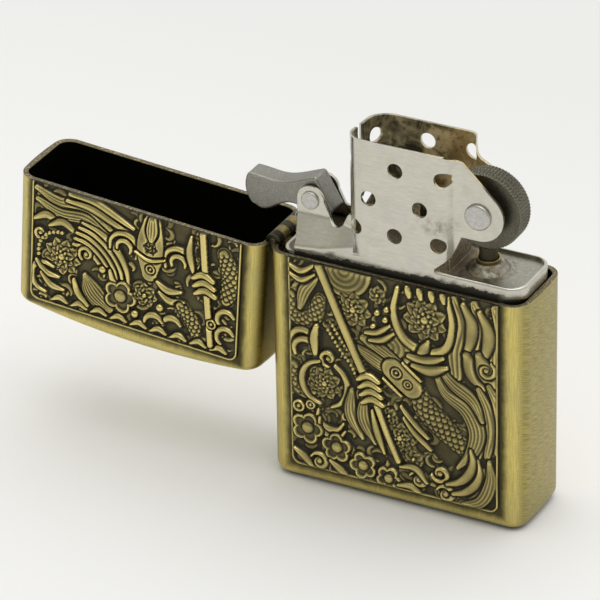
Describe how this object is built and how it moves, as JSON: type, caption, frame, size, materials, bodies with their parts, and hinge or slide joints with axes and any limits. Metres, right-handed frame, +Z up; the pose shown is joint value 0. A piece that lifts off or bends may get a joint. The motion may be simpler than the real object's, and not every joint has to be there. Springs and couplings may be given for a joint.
{
  "type": "windproof pocket lighter",
  "caption": "Windproof pocket lighter with a flip lid, relief plates, a pull-out insert, a vented chimney, a cam and a flint wheel.",
  "frame": {"origin": "centre of the case's flat underside, where it stands", "axes": "+X away from the hinge, -Y the decorated front, +Z up; the lid is at rest wide open"},
  "size_m": [0.0779, 0.0135, 0.0533],
  "materials": {
    "antique_brass": "satin brushed antique",
    "relief_brass": "antique cast relief, dark recesses, rubbed high points",
    "hinge_brass": "worn",
    "hinge_steel": "dark, worn",
    "stainless": "satin, stained by heat inside",
    "rivet_steel": "satin",
    "spring_steel": "satin",
    "cam_cast": "tumbled grey casting with bright edges",
    "wheel_steel": "blackened, hardened",
    "tube_brass": "worn",
    "flint_alloy": "matte",
    "wick_cotton": "braided, scorched tip",
    "cotton": "loose fibre",
    "felt": "pressed felt"
  },
  "bodies": {
    "case": {"case_body": "antique_brass", "body_relief_plate": "relief_brass", "hinge_leaf_body": "hinge_brass", "hinge_pin": "hinge_steel"},
    "lid": {"case_lid": "antique_brass", "lid_relief_plate": "relief_brass", "hinge_leaf_lid": "hinge_steel"},
    "insert": {"insert_shell": "stainless", "insert_deck": "stainless", "cam_rivet": "rivet_steel", "cam_spring": "spring_steel", "cam_spring_rivet": "rivet_steel", "wheel_rivet": "rivet_steel", "flint_tube": "tube_brass", "flint_spring": "spring_steel", "wick": "wick_cotton", "cotton_upper_left": "cotton", "cotton_lower_left": "cotton", "cotton_middle": "cotton", "cotton_right": "cotton", "felt_pad": "felt"},
    "cam": {"cam_lever": "cam_cast"},
    "wheel": {"flint_wheel": "wheel_steel"},
    "flint_stack": {"flint": "flint_alloy", "spring_tip": "tube_brass"},
    "screw": {"spring_screw": "tube_brass"}
  },
  "joints": [
    {"name": "lid_hinge", "type": "hinge", "parent": "case", "child": "lid", "pos_m": [-0.01925, 0, 0.0344], "axis": [0, -1, 0], "range_deg": [-175.7, 0]},
    {"name": "insert_slide", "type": "slide", "parent": "case", "child": "insert", "axis": [0, 0, 1], "range_m": [0, 0.045]},
    {"name": "cam_pivot", "type": "hinge", "parent": "insert", "child": "cam", "pos_m": [-0.01415, 0, 0.0412], "axis": [0, -1, 0], "range_deg": [-90, 0]},
    {"name": "wheel_spin", "type": "hinge", "parent": "insert", "child": "wheel", "pos_m": [0.0109, 0, 0.0448], "axis": [0, -1, 0], "continuous": true},
    {"name": "flint_feed", "type": "slide", "parent": "insert", "child": "flint_stack", "axis": [0, 0, 1], "range_m": [-0.0015, 0], "stiffness_N_per_m": 40, "springref_m": 0.004, "deforming": ["flint_spring"]},
    {"name": "screw_turn", "type": "hinge", "parent": "insert", "child": "screw", "pos_m": [0.0109, 0, 0.0024], "axis": [0, 0, 1], "continuous": true}
  ],
  "couplings": [
    {"joint": "cam_pivot", "follows": "lid_hinge", "ratio": 0.512}
  ]
}
